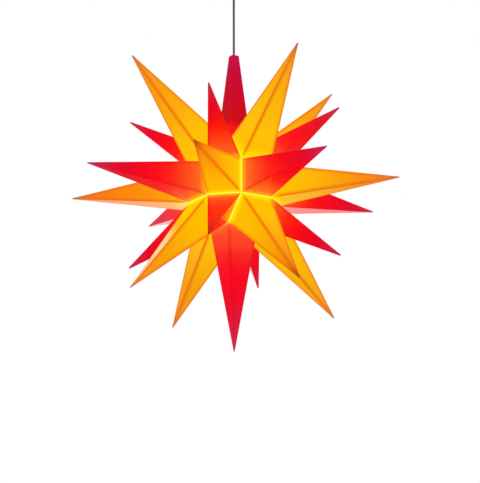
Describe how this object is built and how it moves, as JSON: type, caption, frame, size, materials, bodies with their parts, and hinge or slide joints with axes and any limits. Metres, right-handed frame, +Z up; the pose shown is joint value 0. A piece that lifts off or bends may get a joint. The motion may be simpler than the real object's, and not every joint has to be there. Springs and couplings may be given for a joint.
{
  "type": "moravian star pendant lamp",
  "caption": "Many-pointed hollow plastic star lamp in red and yellow, lit from inside, hanging on a thin grey cord from a small round ceiling rose.",
  "frame": {"origin": "middle of the ceiling rose's mounting face, where it meets the ceiling", "axes": "+Z up along the cord, the star below the origin; -Y is the front, and the red side points lie along +X, -X, +Y and -Y"},
  "size_m": [0.4, 0.4, 0.482],
  "materials": {
    "yellow_plastic": "semi-gloss translucent moulded plastic",
    "red_plastic": "semi-gloss translucent moulded plastic",
    "spring_steel": "bright spring strip",
    "cord_sheath": "smooth grey sheath",
    "nylon": "matt moulded nylon",
    "zinc_steel": "zinc plated",
    "holder_plastic": "heat-proof moulded plastic",
    "socket_ceramic": "unglazed",
    "brass_parts": "bright pressed brass",
    "lamp_insulator": "dark fused glass",
    "lamp_glass": "clear blown glass",
    "stem_glass": "pressed glass stem",
    "filament_glow": "phosphor coated sticks",
    "rose_plastic": "white moulded plastic"
  },
  "bodies": {
    "ceiling_part": {"ceiling_strap": "zinc_steel"},
    "rose": {"rose_cup": "rose_plastic", "side_screws": "zinc_steel", "side_nuts": "zinc_steel", "cord_grip": "nylon", "grip_nut": "nylon", "rose_lead": "cord_sheath", "terminal_block": "nylon", "terminal_screws": "zinc_steel"},
    "cord": {"pendant_cord": "cord_sheath"},
    "lamp_unit": {"carrier_point": "red_plastic", "cord_clamp": "nylon", "lamp_lead": "cord_sheath", "lamp_bracket": "zinc_steel", "holder_nut": "holder_plastic", "holder_cap": "holder_plastic", "holder_skirt": "holder_plastic", "socket_core": "socket_ceramic", "socket_sleeve": "brass_parts", "centre_contact": "brass_parts"},
    "lamp": {"lamp_cap": "brass_parts", "lamp_insulator": "lamp_insulator", "lamp_contact": "brass_parts", "lamp_glass": "lamp_glass", "lamp_stem": "stem_glass", "lamp_filaments": "filament_glow"},
    "star": {"yellow_point_back_left": "yellow_plastic", "yellow_point_back_right": "yellow_plastic", "yellow_point_front_left": "yellow_plastic", "yellow_point_front_right": "yellow_plastic", "yellow_point_lower_back": "yellow_plastic", "yellow_point_lower_front": "yellow_plastic", "yellow_point_lower_left": "yellow_plastic", "yellow_point_lower_right": "yellow_plastic", "yellow_point_upper_back": "yellow_plastic", "yellow_point_upper_front": "yellow_plastic", "yellow_point_upper_left": "yellow_plastic", "yellow_point_upper_right": "yellow_plastic", "red_point_back": "red_plastic", "red_point_bottom": "red_plastic", "red_point_front": "red_plastic", "red_point_left": "red_plastic", "red_point_right": "red_plastic", "small_point_lower_back_left": "red_plastic", "small_point_lower_back_right": "red_plastic", "small_point_lower_front_left": "red_plastic", "small_point_lower_front_right": "red_plastic", "small_point_upper_back_left": "red_plastic", "small_point_upper_back_right": "red_plastic", "small_point_upper_front_left": "red_plastic", "small_point_upper_front_right": "red_plastic", "seam_clips_lower": "spring_steel", "seam_clips_middle": "spring_steel", "seam_clips_upper": "spring_steel"}
  },
  "joints": [
    {"name": "rose_lower", "type": "slide", "parent": "ceiling_part", "child": "rose", "axis": [0, 0, 1], "range_m": [-0.03, 0]},
    {"name": "cord_swing", "type": "hinge", "parent": "rose", "child": "cord", "pos_m": [0, 0, -0.037], "axis": [0, 1, 0], "range_deg": [-20, 20]},
    {"name": "star_turn", "type": "hinge", "parent": "cord", "child": "lamp_unit", "pos_m": [0, 0, -0.1178], "axis": [0, 0, 1], "range_deg": [-180, 180]},
    {"name": "lamp_out", "type": "slide", "parent": "lamp_unit", "child": "lamp", "axis": [0, 0, 1], "range_m": [-0.026, 0]},
    {"name": "star_lower", "type": "slide", "parent": "lamp_unit", "child": "star", "axis": [0, 0, 1], "range_m": [-0.18, 0]}
  ]
}
